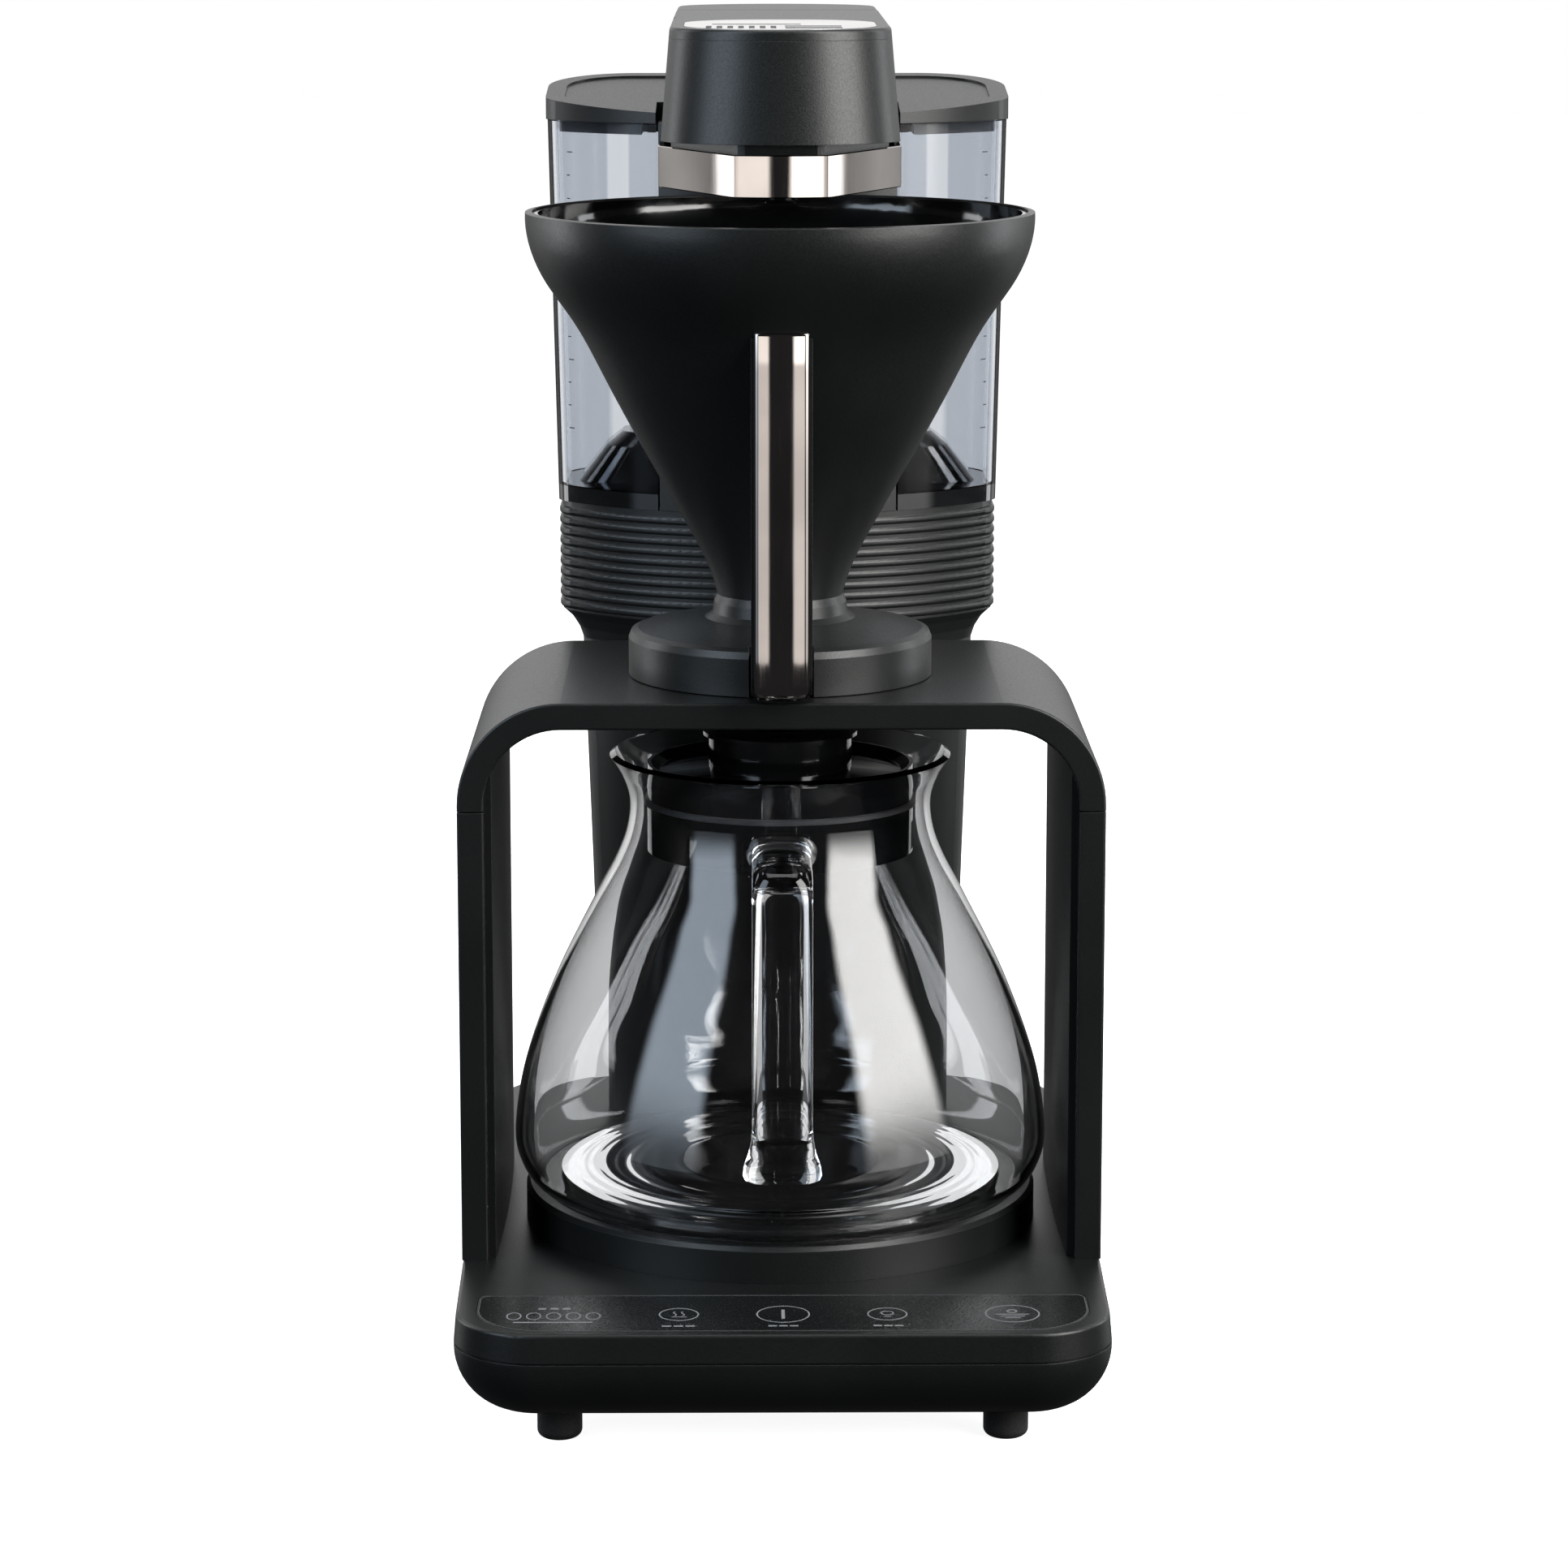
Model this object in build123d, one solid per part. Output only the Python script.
from build123d import *
import math
import os

# Household pour-over filter coffee machine, modelled as separate bench parts.
# X runs across the machine, Y from front (-) to back (+), Z up from the table, all in mm.
# The origin is on the table under the middle of the base.

# ---- Driving dimensions: base ----
base_depth = 335.0
base_width = 219.0
base_front_width = 216.0
base_widest_y = -85.0
base_corner_front = 28.0
base_corner_rear = 45.0
base_edge_radius = 21.0
seam_groove = 0.6
base_bottom_z = 13.0
base_seam_z = 35.0
base_top_z = 45.0
base_top_taper = 5.0
wall = 2.6
foot_radius = 7.5
foot_spacing_x = 148.0
foot_front_y = -134.0
foot_rear_y = 120.0
panel_half_width = 101.0
panel_front_y = -163.0
panel_rear_y = -124.0
panel_thickness = 1.4
floor_plate_thickness = 1.6
gland_x = -60.0
gland_z = 24.0
gland_radius = 7.0
gland_bore = 3.4

# ---- Brewing axis and warming plate ----
brew_y = -23.5
plinth_radius = 89.6
plinth_top_z = 57.6
plate_radius = 84.0
plate_top_z = 59.0

# ---- Arch ----
arch_half_width = 109.0
arch_front_y = -85.0
arch_rear_y = 46.0
arch_top_z = 237.8
arch_thickness = 9.1
arch_corner = 35.0
arch_seam_z = 201.0
arch_edge_radius = 0.9
post_thickness = 3.6

# ---- Column, collar and tank ----
tower_front_y = 70.0
tower_shoulder_y = 106.0
tower_shoulder_radius = 16.0
tower_rear_y = 167.5
tower_rear_radius = 32.0
column_levels = ((45.0, 67.0), (144.0, 70.0), (229.0, 73.0), (233.0, 74.4), (237.0, 77.0), (240.0, 80.3))
column_split_y = 125.0
flange_height = 4.0
collar_bottom_z = 240.0
collar_top_z = 281.0
collar_half_width = 80.4
rib_half_width = 81.5
rib_count = 10
rib_pitch = 3.9
rib_height = 3.3
tank_floor_z = 287.0
tank_top_z = 422.0
tank_bottom_half = 81.8
tank_top_half = 84.9
tank_wall = 3.0
notch_half_width = 44.0
notch_rear_y = 98.0
valve_y = 132.0
lid_half_width = 85.5
lid_wall_z = 430.0
lid_rear_rise = 7.0
lid_skin = 3.6
dish_depth = 0.8
hinge_y = 163.0
hinge_z = 427.0
hinge_pin_radius = 2.0
lug_x = 58.0
ear_reach = 64.0
hump_foot_half = 39.6
hump_top_half = 36.2

# ---- Spine and head ----
spine_half_width = 43.3
spine_rear_y = 97.0
head_bottom_z = 422.6
head_seam_z = 456.5
head_front_y = -75.0
head_nose_reach = 31.0
head_bottom_half = 40.3
head_top_half = 37.2
head_top_front_z = 460.0
head_rise = 3.6
head_lean = 3.0
chassis_rise = 2.4
inlay_rear_y = 12.0
inlay_thickness = 1.2
hump_top_z = 463.8
band_bottom_z = 405.2
band_top_z = 419.3
band_wall = 2.2
band_rear_y = 82.0
band_front_y = -72.6
band_front_half = 15.5
band_shoulder_y = -15.0
band_shoulder_half = 41.6
band_rear_half = 42.6

# ---- Filter holder ----
cone_points = (
    (87.0, 397.6), (85.6, 386.0), (80.6, 374.5), (71.6, 361.5), (59.8, 340.0),
    (41.8, 307.0), (32.2, 290.0), (25.4, 277.0), (21.8, 266.0))
cone_wall = 2.4
insert_wall = 1.6
nest_gap = 0.3
saucer_radius = 52.5
saucer_bottom_z = 238.1
saucer_top_z = 254.2
bar_front_y = -96.6
bar_rear_y = -88.4
bar_top_z = 363.5
bar_bottom_z = 241.0
bar_half_width = 10.2
strip_half_width = 9.15
bar_root_y = -69.0
saucer_slot = 10.9

# ---- Carafe ----
glass_points = (
    (57.4, 210.6), (53.0, 203.5), (50.2, 194.0), (51.2, 183.0), (55.2, 172.0), (62.8, 157.5),
    (76.6, 129.5), (87.2, 100.0), (91.0, 77.0), (89.2, 66.5), (84.5, 60.8), (78.0, 59.2))
glass_wall = 2.3
rod_front_y = -126.0
rod_thickness = 11.0
rod_half_width = 10.5
rod_top_z = 191.0
rod_bottom_z = 82.0

# ---- Valves, drive and fasteners ----
running_gap = 0.06
valve_radius = 6.0
spring_radius = 3.9
spring_wire = 0.45
spring_turns = 5
gear_module = 1.0
gear_teeth = 28
pinion_teeth = 12
gear_backlash = 0.36
gear_bottom_z = 426.0
gear_top_z = 430.0
motor_x = gear_module * (gear_teeth + pinion_teeth) / 2
motor_bottom_z = 433.5
spout_shaft_radius = 5.0
hose_radius = 5.0
hose_bore = 3.2
pump_bottom_z = 84.0
pump_top_z = 158.0
riser_y = 88.0
screw_radius = 1.6
screw_head_radius = 3.2
screw_length = 8.0

front_y = -base_depth / 2
rear_y = base_depth / 2


# ---- Shared shapes ----
def block(x_low, x_high, y_low, y_high, z_low, z_high):
    """Box given by its limits."""
    centre = Pos((x_low + x_high) / 2, (y_low + y_high) / 2, (z_low + z_high) / 2)
    return centre * Box(x_high - x_low, y_high - y_low, z_high - z_low)


def rod(x, y, z_low, z_high, radius):
    """Upright cylinder."""
    return Pos(x, y, (z_low + z_high) / 2) * Cylinder(radius, z_high - z_low)


def tube(x, y, z_low, z_high, outer, inner):
    """Upright tube."""
    return rod(x, y, z_low, z_high, outer) - rod(x, y, z_low, z_high, inner)


def turned(points, x=0.0, y=brew_y):
    """Solid of revolution about an upright axis from (radius, height) corners."""
    face = make_face(Polyline(*[(radius, 0, height) for radius, height in points], close=True))
    return Pos(x, y, 0) * revolve(face, Axis.Z)


def offset_points(points, distance):
    """Move a (radius, height) curve towards the axis, square to its own direction."""
    moved = []
    for index, (radius, height) in enumerate(points):
        before = points[max(index - 1, 0)]
        after = points[min(index + 1, len(points) - 1)]
        run_r = after[0] - before[0]
        run_z = after[1] - before[1]
        length = math.hypot(run_r, run_z)
        moved.append((radius + distance * run_z / length, height - distance * run_r / length))
    return moved


def spun_shell(outer, inner):
    """Shell turned from two smooth (radius, height) curves that run from top to bottom."""
    outer_curve = Spline(*[(radius, 0, height) for radius, height in outer])
    inner_curve = Spline(*[(radius, 0, height) for radius, height in inner])
    lip = Line(outer_curve @ 0, inner_curve @ 0)
    end = Line(outer_curve @ 1, inner_curve @ 1)
    face = make_face(outer_curve.edges() + end.edges() + inner_curve.edges() + lip.edges())
    return Pos(0, brew_y, 0) * revolve(face, Axis.Z)


def spun_solid(points):
    """Solid turned from one smooth curve down to the axis."""
    curve = Spline(*[(radius, 0, height) for radius, height in points])
    top = Line((0, 0, points[0][1]), curve @ 0)
    floor = Line(curve @ 1, (0, 0, points[-1][1]))
    core = Line(floor @ 1, top @ 0)
    face = make_face(top.edges() + curve.edges() + floor.edges() + core.edges())
    return Pos(0, brew_y, 0) * revolve(face, Axis.Z)


def slab(face, z_low, z_high):
    """Straight extrusion of a plan between two heights."""
    return extrude(Pos(0, 0, z_low) * face, z_high - z_low)


def side_profile(points, half_width, radii=0.0):
    """Solid from a (y, height) outline, centred on X = 0."""
    outline = FilletPolyline(*[(0, y, z) for y, z in points], radius=radii, close=True)
    return extrude(make_face(outline), half_width, both=True)


def coil(x, y, z_low, z_high, radius, wire, turns):
    """Compression spring on an upright axis."""
    path = Helix(pitch=(z_high - z_low) / turns, height=z_high - z_low, radius=radius)
    section = Plane(origin=path @ 0, z_dir=path % 0) * Circle(wire)
    return Pos(x, y, z_low) * sweep(section, path=path, is_frenet=True)


def screw(x, y, z_head, length, up=True):
    """Pan-head screw; up means that the shank points upward from its head."""
    side = 1 if up else -1
    head = Pos(x, y, z_head - side * 1.0) * Cylinder(screw_head_radius, 2.0)
    shank = Pos(x, y, z_head + side * length / 2) * Cylinder(screw_radius, length)
    slot = Pos(x, y, z_head - side * 2.0) * Box(4.0, 0.8, 1.6)
    return head + shank - slot


def drill(solid, places, z_low, z_high, radius=screw_radius):
    """Upright holes at a list of (x, y) places."""
    for x, y in places:
        solid = solid - rod(x, y, z_low, z_high, radius)
    return solid


def gear_blank(teeth, z_low, z_high, bore, turn):
    """Spur gear with straight-flanked teeth; turn is the angle of its first tooth."""
    pitch_radius = gear_module * teeth / 2
    root = pitch_radius - 1.15 * gear_module
    tip = pitch_radius + 0.8 * gear_module
    half_pitch = (math.pi * gear_module / 2 - gear_backlash) / 2
    slope = math.tan(math.radians(20))
    half_root = half_pitch + slope * 1.15 * gear_module
    half_tip = half_pitch - slope * 0.8 * gear_module
    tooth = make_face(Polyline(
        (root - 0.6, -half_root), (tip, -half_tip), (tip, half_tip), (root - 0.6, half_root), close=True))
    plan = Circle(root)
    for index in range(teeth):
        plan = plan + Rot(0, 0, turn + 360 * index / teeth) * tooth
    return extrude(Pos(0, 0, z_low) * (plan - Circle(bore)), z_high - z_low)


# ---- Plans ----
def base_outline(inset=0.0):
    """Plan of the base: slightly narrower at the front, rounded corners."""
    half_front = base_front_width / 2 - inset
    half = base_width / 2 - inset
    front = front_y + inset
    rear = rear_y - inset
    sides = Polyline(
        (-half_front, front), (half_front, front), (half, base_widest_y), (half, rear),
        (-half, rear), (-half, base_widest_y), close=True)
    face = make_face(sides)
    face = fillet(face.vertices().group_by(Axis.Y)[0], base_corner_front - inset)
    return fillet(face.vertices().group_by(Axis.Y)[-1], base_corner_rear - inset)


def tower_outline(half, inset=0.0):
    """Plan of the column, collar and tank: bowed front, straight sides, rounded back."""
    front = tower_front_y - 0.3 * (half - column_levels[0][1]) + inset
    shoulder = tower_shoulder_y + 0.4 * inset
    rear = tower_rear_y - inset
    width = half - inset
    bow = ThreePointArc((-width, shoulder), (0, front), (width, shoulder))
    back = Polyline((width, shoulder), (width, rear), (-width, rear), (-width, shoulder))
    face = make_face(bow.edges() + back.edges())
    face = fillet(face.vertices().group_by(Axis.Y)[-1], tower_rear_radius - inset)
    return fillet(face.vertices().group_by(Axis.Y)[0], tower_shoulder_radius - inset)


def tower_block(levels, inset=0.0):
    """Loft of the tower plan through (height, half width) levels."""
    return loft([Pos(0, 0, z) * tower_outline(half, inset) for z, half in levels], ruled=True)


def nose_outline(half, front, rear, inset=0.0):
    """Plan of the head: elliptical nose at the front, square at the back."""
    centre_y = front + head_nose_reach
    width = half - inset
    nose = EllipticalCenterArc((0, centre_y), width, head_nose_reach - inset, start_angle=180, arc_size=180)
    back = Polyline((width, centre_y), (width, rear - inset), (-width, rear - inset), (-width, centre_y))
    return make_face(nose.edges() + back.edges())


def band_outline(inset=0.0):
    """Plan of the faceted band round the head's underside."""
    plan = make_face(Polyline(
        (-band_front_half, band_front_y), (band_front_half, band_front_y),
        (band_shoulder_half, band_shoulder_y), (band_rear_half, band_rear_y),
        (-band_rear_half, band_rear_y), (-band_shoulder_half, band_shoulder_y), close=True))
    plan = fillet(plan.vertices().group_by(Axis.Y)[0], 3.0)
    if inset == 0.0:
        return plan
    return offset(plan, -inset)


def notch_cut(inset=0.0):
    """Space that the spine takes out of the tank and its lid."""
    half = notch_half_width + inset
    return block(-half, half, 40.0, notch_rear_y + inset, collar_top_z - 5.0, 500.0)


foot_places = [(side * foot_spacing_x / 2, y) for side in (-1, 1) for y in (foot_front_y, foot_rear_y)]
plate_screw_places = [(-50.0, -118.0), (50.0, -118.0), (-18.0, 108.0), (18.0, 108.0)]
column_screw_places = [(side * 54.0, y) for side in (-1, 1) for y in (112.0, 147.0)]
bridge_screw_places = [(side * 104.4, y) for side in (-1, 1) for y in (-60.0, 20.0)]
head_screw_places = [(side * 30.0, y) for side in (-1, 1) for y in (-30.0, 50.0)]


# ---- Base ----
def make_base_tub():
    outer = slab(base_outline(), base_bottom_z, base_seam_z)
    outer = fillet(outer.edges().group_by(Axis.Z)[0], base_edge_radius)
    inner = slab(base_outline(wall), base_bottom_z + wall, base_seam_z)
    inner = fillet(inner.edges().group_by(Axis.Z)[0], base_edge_radius - wall)
    tub = outer - inner
    for x, y in foot_places:
        tub = tub + tube(x, y, base_bottom_z + wall, base_bottom_z + 7.0, 5.0, 2.5)
        tub = tub - rod(x, y, base_bottom_z - 1.0, base_bottom_z + 7.0, 2.5)
    for x, y in plate_screw_places:
        tub = tub + rod(x, y, base_bottom_z + wall, base_bottom_z + 10.0, 4.0)
    tub = drill(tub, plate_screw_places, base_bottom_z - 1.0, base_bottom_z + 9.0)
    gland_hole = Pos(gland_x, rear_y, gland_z) * Rot(90, 0, 0) * Cylinder(gland_radius, 20.0)
    return tub - gland_hole


def make_base_top_cover():
    height = base_top_z - base_seam_z
    cover = extrude(Pos(0, 0, base_seam_z) * base_outline(), height, taper=base_top_taper)
    cover = fillet(cover.edges().group_by(Axis.Z)[-1], 1.2)
    cover = cover - slab(base_outline(wall + 0.8), base_seam_z, base_top_z - wall)
    cover = cover - slab(touch_outline(), base_top_z - panel_thickness, base_top_z + 1.0)
    cover = cover - rod(0, brew_y, 40.0, 50.0, 42.0)
    cover = cover - service_opening(40.0, 50.0)
    for x, y in column_screw_places:
        cover = cover - rod(x, y, 40.0, 50.0, screw_radius)
    groove_top = base_seam_z + seam_groove
    groove = slab(base_outline(), base_seam_z, groove_top)
    groove = groove - slab(base_outline(seam_groove), base_seam_z, groove_top)
    return cover - groove


def service_opening(z_low, z_high):
    """Way through from the base into the column, with a round bay for the riser pipe."""
    return block(-40.0, 40.0, 92.0, 154.0, z_low, z_high) + rod(0, riser_y, z_low, z_high, hose_radius + 1.5)


def touch_outline(gap=0.0):
    """Plan of the touch strip: its front corners follow the base, its rear ones are tight."""
    centre_y = (panel_front_y + panel_rear_y) / 2
    plan = Pos(0, centre_y) * Rectangle(2 * (panel_half_width - gap), panel_rear_y - panel_front_y - 2 * gap)
    plan = fillet(plan.vertices().group_by(Axis.Y)[0], 23.0)
    return fillet(plan.vertices().group_by(Axis.Y)[-1], 4.0)


def make_touch_panel():
    panel = slab(touch_outline(0.2), base_top_z - panel_thickness, base_top_z)
    return fillet(panel.edges().group_by(Axis.Z)[-1], 0.3)


def make_touch_board():
    board = block(-88.0, 88.0, -157.0, -131.0, 40.0, 41.6)
    for x in (-33.0, 0.0, 33.0):
        board = board + rod(x, -144.0, 41.6, base_top_z - wall, 7.0)
    return board


def make_floor_plate():
    plate = Pos(0, -7.0) * RectangleRounded(130.0, 262.0, 10.0)
    solid = slab(plate, base_bottom_z - floor_plate_thickness, base_bottom_z)
    return drill(solid, plate_screw_places, 0.0, base_bottom_z + 1.0)


def make_rubber_feet():
    feet = []
    for x, y in foot_places:
        pad = fillet(rod(x, y, 0.0, base_bottom_z, foot_radius).edges().group_by(Axis.Z)[0], 2.6)
        feet.append(pad + rod(x, y, base_bottom_z, base_bottom_z + 6.5, 2.5))
    return Compound(children=feet)


def make_cord_gland():
    """Bushing in the back wall that the mains lead comes out of."""
    length = 9.0
    place = Pos(gland_x, rear_y - 0.3 - length / 2, gland_z) * Rot(90, 0, 0)
    return place * (Cylinder(gland_radius, length) - Cylinder(gland_bore, length))


def make_power_board():
    board = block(-85.0, -25.0, 60.0, 118.0, 20.0, 21.6)
    board = board + block(-80.0, -64.0, 66.0, 86.0, 21.6, 33.0)
    board = board + block(-56.0, -40.0, 66.0, 78.0, 21.6, 31.0)
    for x in (-78.0, -66.0, -54.0):
        board = board + rod(x, 104.0, 21.6, 32.0, 4.5)
    for x, y in ((-82.0, 63.0), (-28.0, 63.0), (-82.0, 115.0), (-28.0, 115.0)):
        board = board + rod(x, y, base_bottom_z + wall, 20.0, 2.5)
    return board


def make_flow_heater():
    """U-shaped flow heater lying in the base, with its two ports turned up."""
    path = FilletPolyline((62.0, 60.0, 25.0), (62.0, -66.0, 25.0), (22.0, -66.0, 25.0),
                          (22.0, 60.0, 25.0), radius=16.0)
    body = sweep(Plane(origin=path @ 0, z_dir=path % 0) * Circle(8.0), path=path)
    clamp = block(14.0, 70.0, -4.0, 4.0, base_bottom_z + wall, 20.0)
    return body + clamp


# ---- Warming plate ----
def make_plinth():
    points = ((plinth_radius, base_top_z), (plinth_radius, plinth_top_z - 1.4),
              (plinth_radius - 1.4, plinth_top_z), (plate_radius + 0.3, plinth_top_z),
              (plate_radius + 0.3, 55.0), (plate_radius - 4.0, 55.0),
              (plate_radius - 4.0, 50.0), (plinth_radius - 3.0, 50.0), (plinth_radius - 3.0, base_top_z))
    return turned(points)


def make_warming_plate():
    points = ((0.0, plate_top_z - 2.0), (0.0, plate_top_z - 0.8), (26.0, plate_top_z - 0.8),
              (28.0, plate_top_z), (plate_radius - 1.0, plate_top_z), (plate_radius, plate_top_z - 1.0),
              (plate_radius, 55.0), (plate_radius - 3.0, 55.0), (plate_radius - 3.0, plate_top_z - 2.0))
    return turned(points)


def make_plate_heater():
    ring_face = Pos(60.0, 0, 52.9) * Rot(90, 0, 0) * Circle(4.0)
    heater = Pos(0, brew_y, 0) * revolve(ring_face, Axis.Z, 320)
    saddle = turned(((54.0, 55.4), (66.0, 55.4), (66.0, plate_top_z - 2.0), (54.0, plate_top_z - 2.0)))
    return heater + saddle


def make_thermostat():
    body = rod(0, brew_y, 49.0, plate_top_z - 2.0, 9.0)
    for side in (-1, 1):
        body = body + block(side * 4.0 - 0.8, side * 4.0 + 0.8, brew_y - 3.0, brew_y + 3.0, 42.0, 49.0)
    return body


# ---- Arch ----
def arch_profile(inset):
    """Front view of the arch, square at the bottom and rounded at the top."""
    half = arch_half_width - inset
    top = arch_top_z - inset
    radius = arch_corner - inset
    points = ((-half, 0, base_top_z), (-half, 0, top), (half, 0, top), (half, 0, base_top_z))
    return make_face(FilletPolyline(*points, radius=[0.0, radius, radius, 0.0], close=True))


def arch_prism(inset, y_low, y_high):
    """Arch profile drawn out from front to back."""
    return extrude(Pos(0, y_high, 0) * arch_profile(inset), y_high - y_low, dir=(0, -1, 0))


def make_arch_band():
    band = arch_prism(0.0, arch_front_y, arch_rear_y) - arch_prism(
        arch_thickness, arch_front_y - 1.0, arch_rear_y + 1.0)
    rims = band.edges().group_by(Axis.Y)
    rims = [edge for edge in rims[0] + rims[-1] if edge.center().Z > base_top_z + 1.0]
    return fillet(rims, arch_edge_radius)


def make_arch_bridge(band):
    bridge = band & block(-120.0, 120.0, -100.0, 60.0, arch_seam_z, 300.0)
    bridge = bridge - rod(0, brew_y, 220.0, 245.0, 17.0)
    return drill(bridge, bridge_screw_places, arch_seam_z - 1.0, arch_seam_z + 12.0)


def make_leg_cover(band, side):
    low, high = sorted((side * 80.0, side * 120.0))
    cover = band & block(low, high, -100.0, 60.0, base_top_z, arch_seam_z - 0.5)
    places = [place for place in bridge_screw_places if place[0] * side > 0]
    return drill(cover, places, arch_seam_z - 16.0, arch_seam_z + 1.0)


def make_leg_post(side):
    """Slightly bowed inner rib that stiffens the leg and carries the bridge."""
    outer_x = arch_half_width - arch_thickness
    front = arch_front_y + 4.0
    rear = arch_rear_y - 4.0
    bow = ThreePointArc((outer_x - 2.4, front), (outer_x - post_thickness, (front + rear) / 2),
                        (outer_x - 2.4, rear))
    back = Polyline((outer_x - 2.4, rear), (outer_x, rear), (outer_x, front), (outer_x - 2.4, front))
    post = slab(make_face(bow.edges() + back.edges()), base_top_z, 235.0)
    post = post & arch_prism(arch_thickness, front - 1.0, rear + 1.0)
    return post if side > 0 else mirror(post, Plane.YZ)


def make_bridge_screws():
    return Compound(children=[
        Pos(x, y, arch_seam_z - 0.5) * Cylinder(screw_radius, 18.0) for x, y in bridge_screw_places])


def make_drip_collar():
    points = ((11.0, 226.5), (22.0, 226.5), (22.0, arch_top_z - arch_thickness), (17.0, 228.7),
              (17.0, arch_top_z - 0.3), (11.0, arch_top_z - 0.3))
    return turned(points)


# ---- Column, collar and spine ----
def make_column():
    """Column shell with the flange that screws it to the base cover."""
    shell = tower_block(column_levels) - tower_block(column_levels, wall)
    flange = slab(tower_outline(column_levels[0][1], wall / 2), base_top_z, base_top_z + flange_height)
    flange = flange - service_opening(40.0, 60.0)
    return shell + drill(flange, column_screw_places, 40.0, 60.0)


def make_column_front(column):
    return column - block(-100.0, 100.0, column_split_y, 200.0, 0.0, 260.0)


def make_column_rear(column):
    rear = column & block(-100.0, 100.0, column_split_y + 0.4, 200.0, 0.0, 260.0)
    for index in range(6):
        z = 70.0 + 9.0 * index
        rear = rear - block(-24.0, 24.0, tower_rear_y - 10.0, tower_rear_y + 10.0, z, z + 3.0)
    return rear


def make_ribbed_collar():
    collar = slab(tower_outline(collar_half_width), collar_bottom_z, collar_top_z)
    for index in range(rib_count):
        z = collar_bottom_z + 0.6 + rib_pitch * index
        rib = slab(tower_outline(rib_half_width), z, z + rib_height)
        collar = collar + fillet(rib.edges().group_by(Axis.Z)[0] + rib.edges().group_by(Axis.Z)[-1], 1.3)
    collar = collar - slab(tower_outline(collar_half_width, 3.0), collar_bottom_z - 1.0, collar_top_z - 3.0)
    collar = collar - rod(0, valve_y, 270.0, 290.0, 9.0) - rod(0, valve_y, 279.4, 290.0, 11.5)
    return collar - rod(0, riser_y, 270.0, 290.0, hose_radius + 0.5)


def spine_block(inset=0.0):
    """Solid shape of the spine: the tower's bowed front between the two tank windows."""
    levels = ((collar_top_z, tank_bottom_half), (head_bottom_z, tank_top_half))
    half = spine_half_width - inset
    keep = block(-half, half, 40.0, spine_rear_y - inset, collar_top_z, head_bottom_z)
    return tower_block(levels, inset) & keep


def make_spine():
    return spine_block() - spine_block(wall)


def make_coupling_seal():
    points = ((4.0, 270.0), (9.0, 270.0), (9.0, 279.4), (11.5, 279.4), (11.5, collar_top_z - 0.8),
              (9.0, collar_top_z - 0.2), (4.0, collar_top_z - 0.2))
    return turned(points, 0.0, valve_y)


def make_pump():
    floor_z = base_top_z + flange_height
    body = rod(0, valve_y, pump_bottom_z, 150.0, 19.0) + rod(0, valve_y, 150.0, pump_top_z, 5.4)
    coil_case = block(-23.0, 23.0, valve_y - 16.0, valve_y + 16.0, 96.0, 132.0)
    shoe = block(-16.0, 16.0, valve_y - 12.0, valve_y + 12.0, floor_z, pump_bottom_z)
    legs = block(-48.0, 48.0, valve_y - 8.0, valve_y + 8.0, floor_z, floor_z + 2.5)
    return body + coil_case + shoe + legs


def make_inlet_hose():
    return tube(0, valve_y, pump_top_z, 270.0, hose_radius, hose_bore)


def make_riser_hose():
    """Hot water pipe from the base, up the spine and forward to the spout."""
    path = FilletPolyline((0, riser_y, 26.0), (0, riser_y, 440.0), (0, brew_y, 440.0), (0, brew_y, 431.6),
                          radius=8.0)
    section = Plane(origin=path @ 0, z_dir=path % 0)
    return sweep(section * Circle(hose_radius), path=path) - sweep(section * Circle(hose_bore), path=path)


# ---- Head ----
def head_plan(z, inset=0.0):
    """Plan of the head at a height: it narrows and leans back towards its top."""
    share = (z - head_bottom_z) / (head_top_front_z - head_bottom_z)
    half = head_bottom_half - share * (head_bottom_half - head_top_half)
    front = head_front_y + share * head_lean
    return Pos(0, 0, z) * nose_outline(half, front, spine_rear_y, inset)


def head_loft(z_low, z_high, inset=0.0):
    return loft([head_plan(z_low, inset), head_plan(z_high, inset)], ruled=True)


def crown_cut():
    """Everything above the crown, which rises gently from the nose to the back."""
    slope = math.degrees(math.atan2(head_rise, tower_rear_y - head_front_y))
    place = Pos(0, head_front_y, head_top_front_z) * Rot(slope, 0, 0)
    return place * Pos(0, 100.0, 50.0) * Box(200.0, 500.0, 100.0)


def make_head_housing():
    return head_loft(head_bottom_z, head_seam_z) - head_loft(head_bottom_z, head_seam_z, wall)


def make_head_top_cover():
    cover = head_loft(head_seam_z, head_top_front_z + 10.0) - crown_cut()
    cover = cover - Pos(0, 0, -1.6) * (head_loft(head_seam_z, head_top_front_z + 10.0, wall) - crown_cut())
    crown = cover.faces().sort_by(Axis.Z)[-1]
    rear = [edge for edge in crown.edges() if edge.center().Y > spine_rear_y - 1.0]
    cover = fillet([edge for edge in crown.edges() if edge not in rear], 1.2)
    return cover - inlay_solid(0.15)


def inlay_solid(gap=0.0):
    """Rounded plate let into the crown of the head, parallel to the sloping top."""
    slope = math.degrees(math.atan2(head_rise, tower_rear_y - head_front_y))
    front = head_front_y + head_lean + 4.5
    plan = nose_outline(head_top_half - 4.8, front, inlay_rear_y, -gap)
    plan = fillet(plan.vertices().group_by(Axis.Y)[-1], 26.0)
    place = Pos(0, 0, head_top_front_z - head_front_y * math.tan(math.radians(slope))) * Rot(slope, 0, 0)
    return place * Pos(0, 0, -inlay_thickness) * extrude(plan, inlay_thickness + 0.05)


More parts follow.
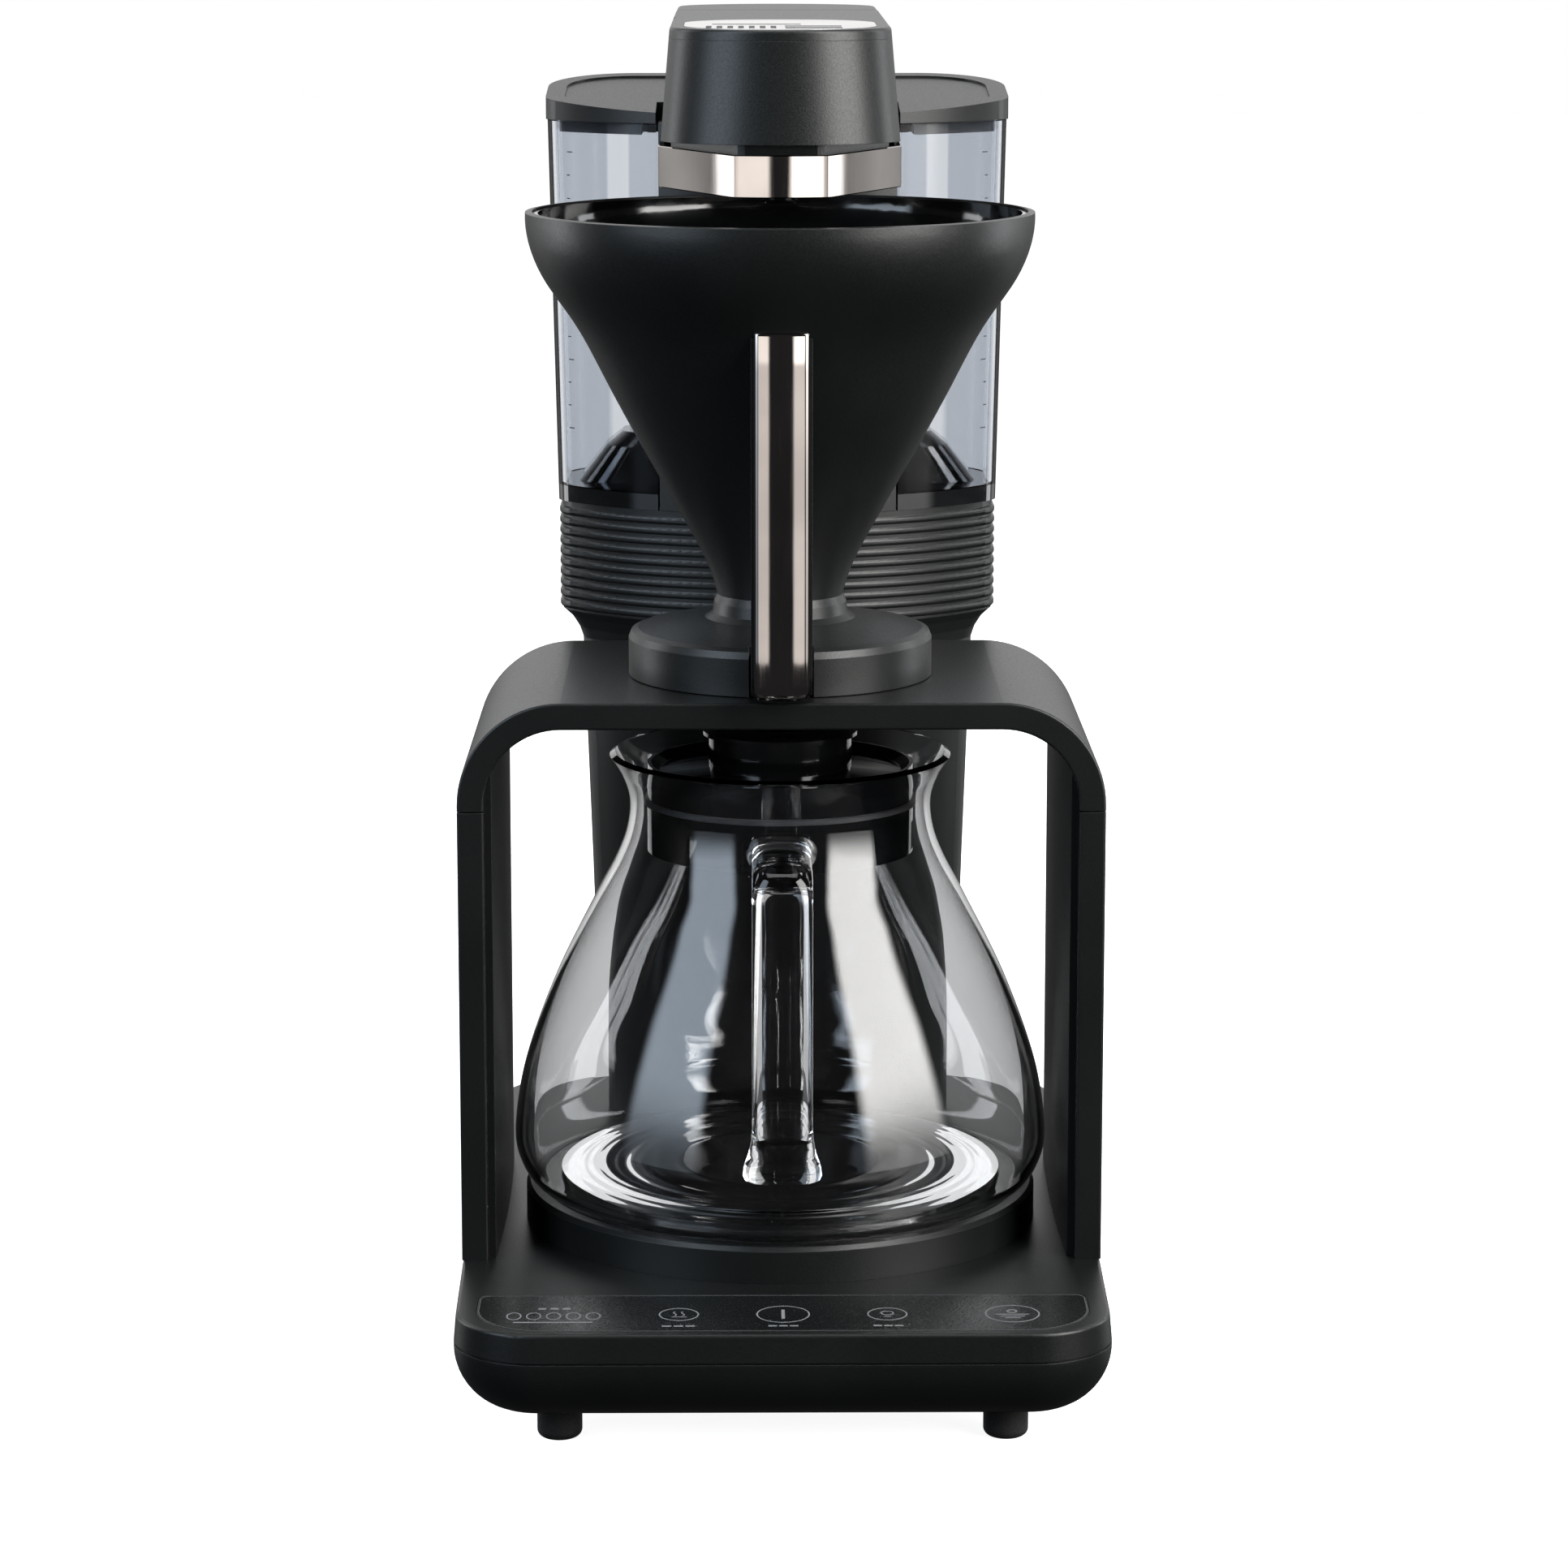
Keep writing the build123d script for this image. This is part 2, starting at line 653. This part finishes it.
def make_head_chassis():
    """Recessed floor of the head that carries the motor and the spout bearing."""
    plan = nose_outline(head_bottom_half, head_front_y, 80.0, wall + 0.5)
    bottom_z = band_top_z - 2.5
    top_z = head_bottom_z + chassis_rise
    chassis = slab(plan, bottom_z, top_z) & band_clear(bottom_z, top_z)
    chassis = chassis - spine_block() - block(-60.0, 60.0, 62.0, 100.0, 410.0, 430.0)
    chassis = chassis - rod(0, brew_y, 410.0, 430.0, 8.0)
    chassis = chassis - rod(motor_x, brew_y, 410.0, 430.0, 2.6)
    return drill(chassis, head_screw_places, 415.0, 426.0)


def band_clear(z_low, z_high):
    """Room inside the faceted band."""
    return slab(band_outline(band_wall), z_low, z_high)


def make_head_band():
    outer = slab(band_outline(), band_bottom_z, band_top_z)
    rims = outer.edges().group_by(Axis.Z)
    outer = fillet(rims[0] + rims[-1], 0.6)
    band = outer - band_clear(band_bottom_z - 1.0, band_top_z + 1.0) - spine_block()
    return band - block(-39.0, 39.0, 60.0, 100.0, 400.0, 425.0)


def make_spray_deck():
    """Black floor inside the band, with the opening that the spout turns in."""
    deck = band_clear(band_bottom_z + 1.6, band_bottom_z + 4.0) - spine_block()
    deck = deck - block(-60.0, 60.0, 76.0, 100.0, 400.0, 412.0)
    return deck - rod(0, brew_y, 400.0, 412.0, 12.0)


def make_spout_motor():
    body = rod(motor_x, brew_y, motor_bottom_z, 450.0, 12.0)
    boss = rod(motor_x, brew_y, 432.0, motor_bottom_z, 5.0)
    ears = block(motor_x - 2.0, motor_x + 2.0, brew_y - 17.0, brew_y + 17.0, motor_bottom_z, 435.0)
    motor = body + boss + ears
    for reach in (-15.0, 15.0):
        motor = motor + rod(motor_x, brew_y + reach, head_bottom_z + chassis_rise, motor_bottom_z, 1.9)
    return motor


def make_motor_pinion():
    pinion = Pos(motor_x, brew_y, 0) * gear_blank(pinion_teeth, gear_bottom_z, gear_top_z, 1.0, 15.0)
    hub = rod(motor_x, brew_y, gear_top_z, 431.8, 3.0)
    return pinion + hub + rod(motor_x, brew_y, 421.0, gear_top_z, 1.2)


def make_spout_gear():
    return Pos(0, brew_y, 0) * gear_blank(gear_teeth, gear_bottom_z, gear_top_z, spout_shaft_radius, 0.0)


def make_spout_bearing():
    points = ((spout_shaft_radius + running_gap, 414.0), (8.0, 414.0), (8.0, 425.0), (10.0, 425.0),
              (10.0, 425.8), (spout_shaft_radius + running_gap, 425.8))
    return turned(points)


def make_spout():
    """Hollow shaft with a swept arm that lays the water down in a circle."""
    shaft = rod(0, brew_y, 402.6, gear_top_z, spout_shaft_radius)
    arm_plan = Pos(0, 9.0) * SlotOverall(34.0, 13.0, rotation=90)
    arm = Pos(0, brew_y, 0) * extrude(Pos(0, 0, 400.4) * arm_plan, 4.0)
    arm = fillet(arm.edges().group_by(Axis.Z)[0], 1.2)
    spout = shaft + arm
    spout = spout - rod(0, brew_y, 402.6, 431.0, 2.6)
    spout = spout - block(-1.8, 1.8, brew_y, brew_y + 20.0, 401.9, 403.4)
    return spout - rod(0, brew_y + 20.0, 399.0, 402.4, 1.8)


def make_case_screws():
    """One kind of pan-head screw, used under the floor, in the column and in the head."""
    flange_z = base_top_z + flange_height
    chassis_z = head_bottom_z + chassis_rise
    screws = [screw(x, y, base_bottom_z - floor_plate_thickness, screw_length) for x, y in plate_screw_places]
    screws += [screw(x, y, flange_z, screw_length, up=False) for x, y in column_screw_places]
    screws += [screw(x, y, chassis_z, screw_length, up=False) for x, y in head_screw_places]
    return Compound(children=screws)


# ---- Tank ----
def tank_levels(inset=0.0):
    span = tank_top_z - collar_top_z
    floor_half = tank_bottom_half + (tank_top_half - tank_bottom_half) * (tank_floor_z - collar_top_z) / span
    return ((tank_floor_z, floor_half), (tank_top_z, tank_top_half))


def make_water_tank():
    outer = tower_block(tank_levels()) - notch_cut()
    inner = tower_block(tank_levels(), tank_wall) - notch_cut(tank_wall)
    shell = outer - inner
    for side in (-1, 1):
        x = side * lug_x
        across = Pos(x, hinge_y, hinge_z) * Rot(0, 90, 0)
        lug = block(x - 2.5, x + 2.5, hinge_y - 4.0, tower_rear_y - 0.6, tank_top_z - 8.0, hinge_z)
        lug = lug + across * Cylinder(4.0, 5.0)
        bore = across * Cylinder(hinge_pin_radius + running_gap, 8.0)
        shell = shell + lug - bore
    return shell


def make_tank_base():
    """Dark welded floor of the tank with the bell over its outlet."""
    levels = ((collar_top_z + 0.1, tank_bottom_half), (tank_floor_z, tank_levels()[0][1]))
    plate = tower_block(levels) - notch_cut()
    bell = loft([Pos(0, valve_y, tank_floor_z) * RectangleRounded(148.0, 46.0, 12.0),
                 Pos(0, valve_y, 300.0) * RectangleRounded(128.0, 36.0, 10.0),
                 Pos(0, valve_y, 305.0) * RectangleRounded(116.0, 28.0, 9.0)], ruled=True)
    hollow = loft([Pos(0, valve_y, collar_top_z) * RectangleRounded(142.0, 40.0, 9.0),
                   Pos(0, valve_y, 298.0) * RectangleRounded(122.0, 30.0, 7.0),
                   Pos(0, valve_y, 302.0) * RectangleRounded(112.0, 24.0, 6.0)], ruled=True)
    base = plate + bell - hollow
    base = base + tube(0, valve_y, collar_top_z + 0.3, 302.0, 9.0, valve_radius + running_gap)
    for side in (-1, 1):
        base = base + block(side * 38.0 - 29.2, side * 38.0 + 29.2, valve_y - 1.0, valve_y + 1.0,
                            collar_top_z + 1.0, 290.0)
    return base - rod(0, valve_y, 300.0, 306.0, 3.0)


def make_tank_strainer():
    disc = rod(0, valve_y, 305.0, 306.4, 11.0)
    for index in range(8):
        angle = math.radians(45 * index)
        disc = disc - rod(7.0 * math.cos(angle), valve_y + 7.0 * math.sin(angle), 304.0, 308.0, 1.6)
    return disc - rod(0, valve_y, 304.0, 308.0, 3.0)


def make_tank_valve_plunger():
    head = rod(0, valve_y, collar_top_z + 2.5, 289.0, valve_radius)
    head = fillet(head.edges().group_by(Axis.Z)[0], 1.0)
    return head + rod(0, valve_y, 289.0, 300.0, 2.0)


def make_tank_valve_spring():
    return coil(0, valve_y, 289.6, 301.2, spring_radius, spring_wire, spring_turns)


# ---- Tank lid ----
def lid_top_cut():
    """Everything above the lid's sloping top."""
    slope = math.degrees(math.atan2(lid_rear_rise, tower_rear_y - tower_shoulder_y))
    place = Pos(0, tower_shoulder_y, lid_wall_z) * Rot(slope, 0, 0)
    return place * Pos(0, 0, 50.0) * Box(240.0, 300.0, 100.0)


def make_tank_lid():
    blank = slab(tower_outline(lid_half_width), tank_top_z + 0.4, 450.0) - notch_cut(0.2) - lid_top_cut()
    dish = slab(tower_outline(lid_half_width, 7.0), 400.0, 480.0) - notch_cut(7.0)
    blank = blank - (dish & Pos(0, 0, -dish_depth) * lid_top_cut())
    inside = slab(tower_outline(lid_half_width, wall), 400.0, 480.0) - notch_cut(wall)
    inside = inside - Pos(0, 0, -lid_skin) * lid_top_cut()
    lid = blank - inside
    lid = lid - block(-90.0, 90.0, hinge_y - 4.0, 180.0, 400.0, hinge_z - 1.8)
    for side in (-1, 1):
        x = side * ear_reach
        across = Pos(x, hinge_y, hinge_z) * Rot(0, 90, 0)
        ear = block(x - 2.5, x + 2.5, hinge_y - 3.6, hinge_y + 1.0, hinge_z, 434.2)
        ear = ear + across * Cylinder(3.6, 5.0)
        lid = lid + (ear - lid_top_cut()) - across * Cylinder(hinge_pin_radius, 8.0)
        slot_x = side * lug_x
        lid = lid - block(slot_x - 3.2, slot_x + 3.2, hinge_y - 4.6, 180.0, 400.0, hinge_z + 4.4)
    return lid


def hump_outline(half, rear, inset=0.0):
    """Plan of the lid's hump: square at the front, elliptical at the back."""
    front = spine_rear_y + 1.2 + inset
    centre_y = rear - 24.0
    width = half - inset
    tail = EllipticalCenterArc((0, centre_y), width, 24.0 - inset, start_angle=0, arc_size=180)
    sides = Polyline((-width, centre_y), (-width, front), (width, front), (width, centre_y))
    return make_face(tail.edges() + sides.edges())


def hump_loft(inset=0.0):
    """Solid shape of the hump, which narrows upwards."""
    foot = Pos(0, 0, 424.0) * hump_outline(hump_foot_half, 158.0, inset)
    top = Pos(0, 0, 474.0) * hump_outline(hump_top_half, 156.0, inset)
    return loft([foot, top], ruled=True)


def make_lid_hump(lid):
    outer = hump_loft()
    inner = hump_loft(wall)
    inner = inner & block(-60.0, 60.0, 80.0, 180.0, 420.0, hump_top_z - 3.2)
    hump = outer - crown_cut()
    crown = hump.faces().sort_by(Axis.Z)[-1]
    front = [edge for edge in crown.edges() if edge.center().Y < spine_rear_y + 3.0]
    hump = fillet([edge for edge in crown.edges() if edge not in front], 1.6) - inner
    above_lid = Pos(0, 0, -dish_depth) * lid_top_cut()
    return (hump & above_lid) - lid


def make_lid_seal():
    ring = slab(tower_outline(lid_half_width, 5.2), tank_top_z - 4.0, 440.0) - notch_cut(5.2)
    ring = ring - (slab(tower_outline(lid_half_width, 7.2), 400.0, 450.0) - notch_cut(7.2))
    ring = ring - Pos(0, 0, -lid_skin) * lid_top_cut()
    return ring - block(-90.0, 90.0, hinge_y - 16.0, 180.0, 400.0, 440.0)


def make_hinge_pins():
    middle = (lug_x + ear_reach) / 2
    return Compound(children=[
        Pos(side * middle, hinge_y, hinge_z) * Rot(0, 90, 0) * Cylinder(hinge_pin_radius, 11.0)
        for side in (-1, 1)])


# ---- Filter holder ----
def make_filter_cone():
    return spun_shell(cone_points, offset_points(cone_points, cone_wall))


def make_filter_insert():
    outer = offset_points(cone_points, cone_wall + nest_gap)
    inner = offset_points(cone_points, cone_wall + nest_gap + insert_wall)
    outer[0] = (outer[0][0], cone_points[0][1] - 0.4)
    inner[0] = (inner[0][0], cone_points[0][1] - 0.4)
    insert = spun_shell(outer, inner)
    floor_z = cone_points[-1][1] + 0.4
    return insert + tube(0, brew_y, floor_z, floor_z + 2.0, outer[-1][0] - 0.2, 7.0)


def make_filter_saucer():
    tube_inner = valve_radius + running_gap
    tube_outer = 8.6
    points = ((tube_inner, saucer_bottom_z + 1.4), (tube_outer, saucer_bottom_z + 1.4), (tube_outer, 254.6),
              (18.0, 254.6), (46.5, 251.4), (49.9, 248.6), (49.9, saucer_bottom_z),
              (saucer_radius, saucer_bottom_z), (saucer_radius, 250.9), (51.5, 253.2),
              (49.2, saucer_top_z), (26.0, 257.8), (23.4, 259.6), (22.9, 263.4), (21.8, 266.0),
              (tube_inner, 266.0))
    saucer = turned(points)
    saucer = saucer - block(-saucer_slot, saucer_slot, -80.0, bar_root_y, 230.0, 262.0)
    cap = tube(0, brew_y, 258.0, 260.5, valve_radius + 0.5, 2.0 + running_gap)
    for index in range(3):
        angle = math.radians(120 * index)
        cap = cap - rod(4.3 * math.cos(angle), brew_y + 4.3 * math.sin(angle), 257.0, 262.0, 1.2)
    return saucer + cap


def make_handle_backing(cone_body):
    inner_y = bar_rear_y
    points = ((bar_front_y + 2.6, bar_top_z), (bar_front_y + 2.6, 247.0), (bar_front_y + 6.5, bar_bottom_z),
              (bar_root_y, bar_bottom_z), (bar_root_y, 252.0), (inner_y + 3.0, 252.0), (inner_y, 259.0),
              (inner_y, 336.0), (inner_y + 6.0, 350.0), (inner_y + 6.0, bar_top_z))
    bar = side_profile(points, bar_half_width, [0.0, 3.0, 3.0, 0.0, 0.0, 2.0, 4.0, 6.0, 3.0, 0.0])
    return bar - cone_body


def make_handle_strip(cone_body):
    """Bright convex strip on the handle's face, hooked back under its lower end."""
    back_y = bar_front_y + 2.6
    points = ((bar_front_y, bar_top_z - 0.6), (bar_front_y, 245.5), (bar_front_y + 6.0, bar_bottom_z - 1.8),
              (bar_front_y + 9.0, bar_bottom_z - 1.8), (bar_front_y + 9.0, bar_bottom_z),
              (bar_front_y + 6.5, bar_bottom_z), (back_y, 247.0), (back_y, bar_top_z - 0.6))
    strip = side_profile(points, strip_half_width, [0.0, 4.0, 2.0, 0.0, 0.0, 3.0, 3.0, 0.0])
    edges = strip.edges().filter_by(Axis.Z).group_by(Axis.Y)[0]
    return fillet(edges, 1.4) - cone_body


def make_drip_plunger():
    head = rod(0, brew_y, saucer_bottom_z + 0.9, 246.0, valve_radius)
    return head + rod(0, brew_y, 246.0, 261.5, 2.0)


def make_drip_spring():
    return coil(0, brew_y, 246.6, 257.3, spring_radius, spring_wire, spring_turns)


# ---- Carafe ----
def make_carafe_glass():
    inner_points = offset_points(glass_points, glass_wall)
    inner_points[0] = (inner_points[0][0], glass_points[0][1] + 0.4)
    bottom_r, bottom_z = inner_points[-1]
    outer_curve = Spline(*[(radius, 0, height) for radius, height in glass_points])
    inner_curve = Spline(*[(radius, 0, height) for radius, height in inner_points])
    lip = Line(outer_curve @ 0, inner_curve @ 0)
    floor = Polyline(outer_curve @ 1, (0, 0, glass_points[-1][1]), (0, 0, bottom_z), (bottom_r, 0, bottom_z))
    face = make_face(outer_curve.edges() + floor.edges() + inner_curve.edges() + lip.edges())
    glass = Pos(0, brew_y, 0) * revolve(face, Axis.Z)
    return fillet(glass.edges().sort_by(Axis.Z)[-2:], 0.8)


def make_carafe_handle(carafe_body):
    rear = rod_front_y + rod_thickness
    points = ((rod_front_y, rod_bottom_z), (rod_front_y, rod_top_z), (-70.0, rod_top_z - 1.0),
              (-70.0, rod_top_z - 12.0), (rear, rod_top_z - 12.0), (rear, rod_bottom_z + 15.0),
              (-105.0, rod_bottom_z + 15.0), (-105.0, rod_bottom_z))
    handle = side_profile(points, rod_half_width, [4.0, 9.0, 0.0, 0.0, 5.0, 3.0, 0.0, 0.0])
    sides = handle.edges().group_by(Axis.X)
    handle = fillet(sides[0] + sides[-1], 4.2)
    return handle - carafe_body


def make_carafe_lid():
    """Stopper-style lid: skirt in the neck, dished top, central boss with a flanged top."""
    points = ((13.0, 199.0), (13.0, 219.0), (25.5, 219.0), (27.0, 218.0), (27.0, 216.6), (25.0, 216.0),
              (25.0, 205.4), (42.0, 204.0), (45.0, 206.5), (46.2, 206.5), (46.2, 176.0), (44.0, 176.0),
              (44.0, 200.4), (40.0, 201.4), (22.6, 202.6), (22.6, 216.4), (15.4, 216.4), (15.4, 199.0))
    lid = turned(points)
    for index in range(3):
        opening = Pos(0, brew_y, 182.0) * Rot(0, 0, 120 * index) * Pos(45.0, 0, 0)
        lid = lid - opening * Box(8.0, 22.0, 10.0)
    return lid


def make_carafe_lid_seal():
    points = ((46.2, 193.0), (47.3, 193.4), (47.3, 195.0), (46.2, 195.4))
    return turned(points)


# ---- Write every node ----
def build_parts():
    band = make_arch_band()
    column = make_column()
    cone_body = spun_solid(cone_points)
    carafe_body = spun_solid(glass_points)
    tank_lid = make_tank_lid()
    return {
        "base_tub": make_base_tub(),
        "base_top_cover": make_base_top_cover(),
        "base_floor_plate": make_floor_plate(),
        "rubber_feet": make_rubber_feet(),
        "case_screws": make_case_screws(),
        "touch_panel": make_touch_panel(),
        "touch_board": make_touch_board(),
        "power_board": make_power_board(),
        "cord_gland": make_cord_gland(),
        "flow_heater": make_flow_heater(),
        "plate_plinth": make_plinth(),
        "warming_plate": make_warming_plate(),
        "plate_heater": make_plate_heater(),
        "thermostat": make_thermostat(),
        "left_leg_post": make_leg_post(-1),
        "right_leg_post": make_leg_post(1),
        "left_leg_cover": make_leg_cover(band, -1),
        "right_leg_cover": make_leg_cover(band, 1),
        "arch_bridge": make_arch_bridge(band),
        "bridge_screws": make_bridge_screws(),
        "drip_collar": make_drip_collar(),
        "column_front_shell": make_column_front(column),
        "column_rear_cover": make_column_rear(column),
        "ribbed_collar": make_ribbed_collar(),
        "spine_housing": make_spine(),
        "coupling_seal": make_coupling_seal(),
        "pump": make_pump(),
        "inlet_hose": make_inlet_hose(),
        "riser_hose": make_riser_hose(),
        "head_housing": make_head_housing(),
        "head_top_cover": make_head_top_cover(),
        "head_inlay": inlay_solid(),
        "head_chassis": make_head_chassis(),
        "head_band": make_head_band(),
        "spray_deck": make_spray_deck(),
        "spout_motor": make_spout_motor(),
        "motor_pinion": make_motor_pinion(),
        "spout_gear": make_spout_gear(),
        "spout_bearing": make_spout_bearing(),
        "rotating_spout": make_spout(),
        "water_tank": make_water_tank(),
        "tank_base": make_tank_base(),
        "tank_strainer": make_tank_strainer(),
        "tank_valve_plunger": make_tank_valve_plunger(),
        "tank_valve_spring": make_tank_valve_spring(),
        "tank_lid": tank_lid,
        "lid_hump": make_lid_hump(tank_lid),
        "lid_seal": make_lid_seal(),
        "lid_hinge_pins": make_hinge_pins(),
        "filter_cone": make_filter_cone(),
        "filter_insert": make_filter_insert(),
        "filter_saucer": make_filter_saucer(),
        "handle_backing": make_handle_backing(cone_body),
        "handle_strip": make_handle_strip(cone_body),
        "drip_valve_plunger": make_drip_plunger(),
        "drip_valve_spring": make_drip_spring(),
        "carafe_glass": make_carafe_glass(),
        "carafe_handle": make_carafe_handle(carafe_body),
        "carafe_lid": make_carafe_lid(),
        "carafe_lid_seal": make_carafe_lid_seal(),
    }


os.makedirs("parts", exist_ok=True)
for node, solid in build_parts().items():
    export_step(solid, f"parts/{node}.step")
